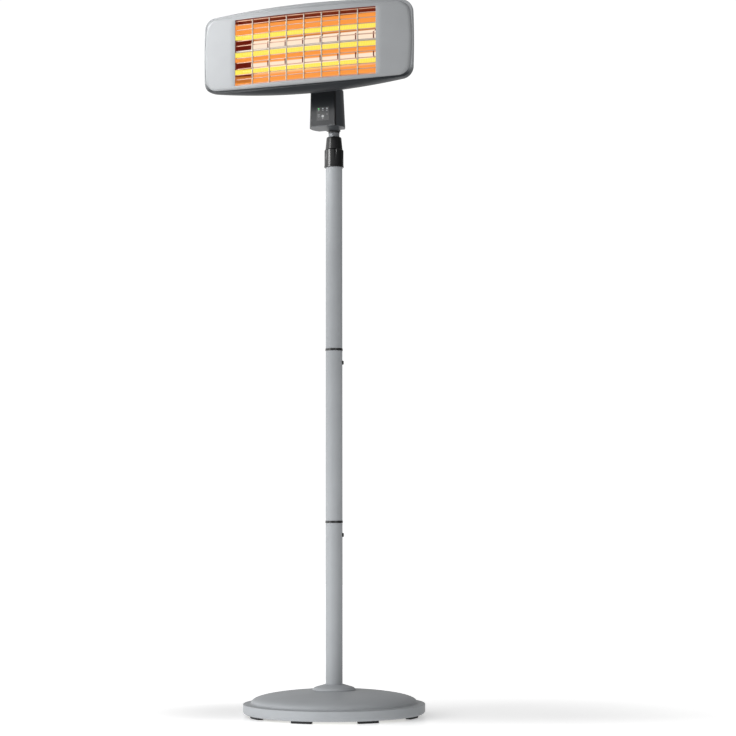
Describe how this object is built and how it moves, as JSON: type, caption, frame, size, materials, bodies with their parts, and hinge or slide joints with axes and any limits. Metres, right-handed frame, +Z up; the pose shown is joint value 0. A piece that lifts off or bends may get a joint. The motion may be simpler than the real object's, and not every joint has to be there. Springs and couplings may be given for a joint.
{
  "type": "infrared patio heater",
  "caption": "Free-standing infrared heater: tilting quartz tube head with wire grille and control box on a telescopic pole with a weighted round base.",
  "frame": {"origin": "on the floor under the pole's axis, the centre of the round base", "axes": "+Z up along the pole, -Y the way the heater's face looks, +X to the right seen from the front"},
  "size_m": [0.5032, 0.409, 1.5895],
  "materials": {
    "grey_paint": "satin grey paint",
    "rear_paint": "satin dark grey paint",
    "black_plastic": "satin moulded",
    "box_plastic": "satin gloss moulded",
    "panel_gloss": "gloss",
    "film": "printed film",
    "key_white": "moulded",
    "lamp_lens": "clear",
    "mast_steel": "satin",
    "wire_steel": "light grey coated wire",
    "polished_aluminium": "polished",
    "quartz": "clear, glowing in use",
    "coil_alloy": "glowing in use",
    "ceramic": "unglazed",
    "plated_steel": "zinc plated",
    "bracket_paint": "satin black",
    "iron": "as cast",
    "rubber": "moulded",
    "washer_plastic": "plain",
    "board": "solder mask",
    "component_plastic": "moulded"
  },
  "bodies": {
    "stand": {"base_cover": "grey_paint", "base_plate": "plated_steel", "base_screws": "plated_steel", "base_feet": "rubber", "base_weight": "iron", "pole_socket": "plated_steel", "tie_bolt": "plated_steel", "tie_nut": "plated_steel", "pole_cap": "grey_paint", "lower_tube": "grey_paint", "middle_tube": "grey_paint", "upper_tube": "grey_paint", "lower_coupler": "black_plastic", "upper_coupler": "black_plastic", "clamp_base": "black_plastic", "clamp_collet": "black_plastic"},
    "lower_button": {"lower_snap_button": "black_plastic", "lower_button_spring": "plated_steel"},
    "upper_button": {"upper_snap_button": "black_plastic", "upper_button_spring": "plated_steel"},
    "collar": {"clamp_collar": "black_plastic"},
    "glide": {"glide_plug": "black_plastic"},
    "mast": {"mast_tube": "mast_steel", "box_front_shell": "box_plastic", "box_rear_shell": "box_plastic", "box_screws": "plated_steel", "neck_screw": "plated_steel", "control_panel": "panel_gloss", "key_film": "film", "key_switch": "component_plastic", "indicator_lamps": "lamp_lens", "control_board": "board", "heat_relays": "component_plastic", "tip_switch": "component_plastic", "terminal_block": "ceramic", "cable_gland": "black_plastic", "gland_nut": "black_plastic", "tilt_bracket": "bracket_paint", "bracket_screws": "plated_steel", "tilt_bolt": "plated_steel", "tilt_nut": "plated_steel", "tilt_washers": "washer_plastic"},
    "key": {"power_key": "key_white"},
    "head": {"front_bezel": "grey_paint", "rear_housing": "rear_paint", "case_screws": "plated_steel", "grille": "wire_steel", "reflector": "polished_aluminium", "upper_quartz_tube": "quartz", "middle_quartz_tube": "quartz", "lower_quartz_tube": "quartz", "heating_coils": "coil_alloy", "end_caps": "ceramic", "left_tube_bracket": "plated_steel", "right_tube_bracket": "plated_steel", "tube_screws": "plated_steel", "heat_shield": "plated_steel", "head_terminals": "ceramic", "head_lugs": "bracket_paint", "lug_screws": "plated_steel"}
  },
  "joints": [
    {"name": "height_slide", "type": "slide", "parent": "stand", "child": "glide", "axis": [0, 0, 1], "range_m": [0, 0.3]},
    {"name": "mast_swivel", "type": "hinge", "parent": "glide", "child": "mast", "pos_m": [0, 0, 0.9], "axis": [0, 0, 1], "range_deg": [-90, 90]},
    {"name": "head_tilt", "type": "hinge", "parent": "mast", "child": "head", "pos_m": [0, -0.047, 1.4485], "axis": [1, 0, 0], "range_deg": [-15, 25]},
    {"name": "collar_twist", "type": "hinge", "parent": "stand", "child": "collar", "pos_m": [0, 0, 1.27], "axis": [0, 0, 1], "range_deg": [0, 120]},
    {"name": "lower_button_press", "type": "slide", "parent": "stand", "child": "lower_button", "axis": [-0.9511, -0.309, 0], "range_m": [0, 0.003], "stiffness_N_per_m": 2000, "springref_m": -0.002},
    {"name": "upper_button_press", "type": "slide", "parent": "stand", "child": "upper_button", "axis": [-0.9511, -0.309, 0], "range_m": [0, 0.003], "stiffness_N_per_m": 2000, "springref_m": -0.002},
    {"name": "key_press", "type": "slide", "parent": "mast", "child": "key", "axis": [0, 1, 0], "range_m": [0, 0.0012], "stiffness_N_per_m": 1500, "springref_m": -0.001}
  ]
}
